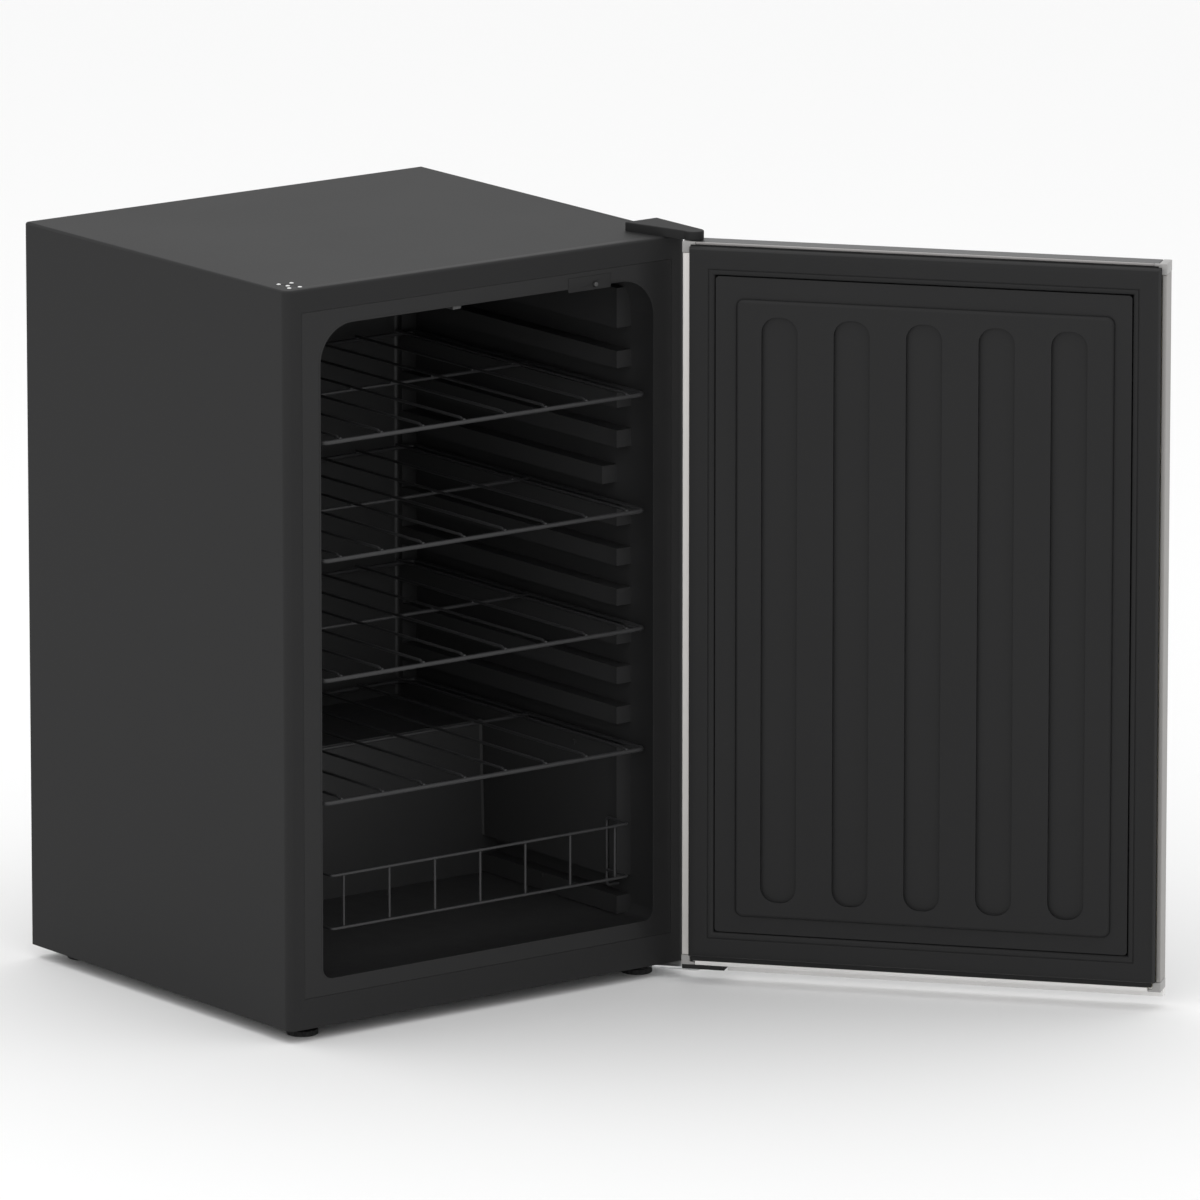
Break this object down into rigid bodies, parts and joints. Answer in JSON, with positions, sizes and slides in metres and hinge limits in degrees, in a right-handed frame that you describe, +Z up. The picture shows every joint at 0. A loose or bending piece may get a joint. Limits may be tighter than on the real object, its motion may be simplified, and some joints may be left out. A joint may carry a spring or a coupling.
{
  "type": "wine cooler",
  "caption": "Compact under-counter drinks cooler: insulated steel cabinet, solid right-hinged door standing open, sliding wire shelves and a low bottle guard.",
  "frame": {"origin": "middle of the flat underside of the cabinet, halfway between its sides and halfway between its front and rear edges; the feet reach 14 mm below it", "axes": "+Z up, +X to the right seen from the front, +Y from the front towards the rear"},
  "size_m": [0.8514, 0.9336, 0.8217],
  "materials": {
    "cabinet_paint": "satin dark grey powder coat",
    "door_paint": "satin black",
    "liner_plastic": "glossy black",
    "door_liner_plastic": "semi-gloss dark grey",
    "gasket_rubber": "matte black soft magnetic seal",
    "trim_metal": "brushed",
    "cap_plastic": "silver-grey",
    "dark_plastic": "fine-textured black",
    "light_plastic": "light grey",
    "lamp_plastic": "frosted",
    "shelf_wire": "dark grey coated wire",
    "zinc_steel": "zinc plated",
    "compressor_paint": "gloss black enamel",
    "copper_tube": "drawn copper",
    "foam": "rigid polyurethane foam",
    "plate_aluminium": "mill finish",
    "tube_plastic": "flexible hose",
    "mount_rubber": "black"
  },
  "bodies": {
    "cabinet": {"cabinet_shell": "cabinet_paint", "hinge_hole_plugs": "light_plastic", "base_plate": "cabinet_paint", "rear_panel": "cabinet_paint", "bay_partition": "cabinet_paint", "insulation_foam": "foam", "inner_liner": "liner_plastic", "cold_plate": "plate_aluminium", "drain_tube": "tube_plastic", "control_bezel": "dark_plastic", "lamp_lens": "lamp_plastic", "thermostat_housing": "dark_plastic", "top_hinge_bracket": "zinc_steel", "top_hinge_screws": "zinc_steel", "hinge_cover": "dark_plastic", "bottom_hinge_bracket": "zinc_steel", "bottom_hinge_screws": "zinc_steel", "rear_foot_left": "dark_plastic", "rear_foot_right": "dark_plastic", "compressor_plate": "zinc_steel", "rubber_mounts": "mount_rubber", "mount_bolts": "zinc_steel", "compressor": "compressor_paint", "start_relay_cover": "dark_plastic", "condenser_coil": "compressor_paint", "condenser_wires": "compressor_paint", "condenser_brackets": "zinc_steel", "filter_drier": "copper_tube", "discharge_tube": "copper_tube", "drain_pan": "dark_plastic", "mains_inlet_gland": "dark_plastic"},
    "door": {"hinge_side_trim": "trim_metal", "free_side_trim": "trim_metal", "top_hinge_bushing": "dark_plastic", "corner_cap_top_hinge": "cap_plastic", "corner_cap_bottom_hinge": "cap_plastic", "corner_cap_top_free": "cap_plastic", "corner_cap_bottom_free": "cap_plastic", "top_trim": "trim_metal", "top_cap": "dark_plastic", "bottom_trim": "trim_metal", "hinge_foot_plate": "dark_plastic", "outer_panel": "door_paint", "door_foam": "foam", "door_liner": "door_liner_plastic", "door_gasket": "gasket_rubber"},
    "plunger": {"switch_plunger": "light_plastic"},
    "knob": {"thermostat_knob": "dark_plastic"},
    "shelf_1": {"wire_shelf_1": "shelf_wire"},
    "shelf_2": {"wire_shelf_2": "shelf_wire"},
    "shelf_3": {"wire_shelf_3": "shelf_wire"},
    "shelf_4": {"wire_shelf_4": "shelf_wire"},
    "guard": {"bottle_guard": "shelf_wire"},
    "foot_left": {"levelling_foot_left": "dark_plastic"},
    "foot_right": {"levelling_foot_right": "dark_plastic"}
  },
  "joints": [
    {"name": "door_hinge", "type": "hinge", "parent": "cabinet", "child": "door", "pos_m": [0.2525, -0.2675, 0.4], "axis": [0, 0, 1], "range_deg": [-129.4, 5.6]},
    {"name": "plunger_slide", "type": "slide", "parent": "cabinet", "child": "plunger", "axis": [0, 1, 0], "range_m": [0, 0.0024], "stiffness_N_per_m": 250, "springref_m": -0.004},
    {"name": "knob_turn", "type": "hinge", "parent": "cabinet", "child": "knob", "pos_m": [0.12, -0.0895, 0.73], "axis": [0, 0, 1], "range_deg": [-150, 150]},
    {"name": "shelf_1_slide", "type": "slide", "parent": "cabinet", "child": "shelf_1", "axis": [0, -1, 0], "range_m": [0, 0.3]},
    {"name": "shelf_2_slide", "type": "slide", "parent": "cabinet", "child": "shelf_2", "axis": [0, -1, 0], "range_m": [0, 0.3]},
    {"name": "shelf_3_slide", "type": "slide", "parent": "cabinet", "child": "shelf_3", "axis": [0, -1, 0], "range_m": [0, 0.3]},
    {"name": "shelf_4_slide", "type": "slide", "parent": "cabinet", "child": "shelf_4", "axis": [0, -1, 0], "range_m": [0, 0.3]},
    {"name": "guard_slide", "type": "slide", "parent": "cabinet", "child": "guard", "axis": [0, -1, 0], "range_m": [0, 0.05]},
    {"name": "foot_left_turn", "type": "hinge", "parent": "cabinet", "child": "foot_left", "pos_m": [-0.222, -0.2055, -0.01], "axis": [0, 0, 1], "continuous": true},
    {"name": "foot_right_turn", "type": "hinge", "parent": "cabinet", "child": "foot_right", "pos_m": [0.222, -0.2055, -0.01], "axis": [0, 0, 1], "continuous": true}
  ]
}
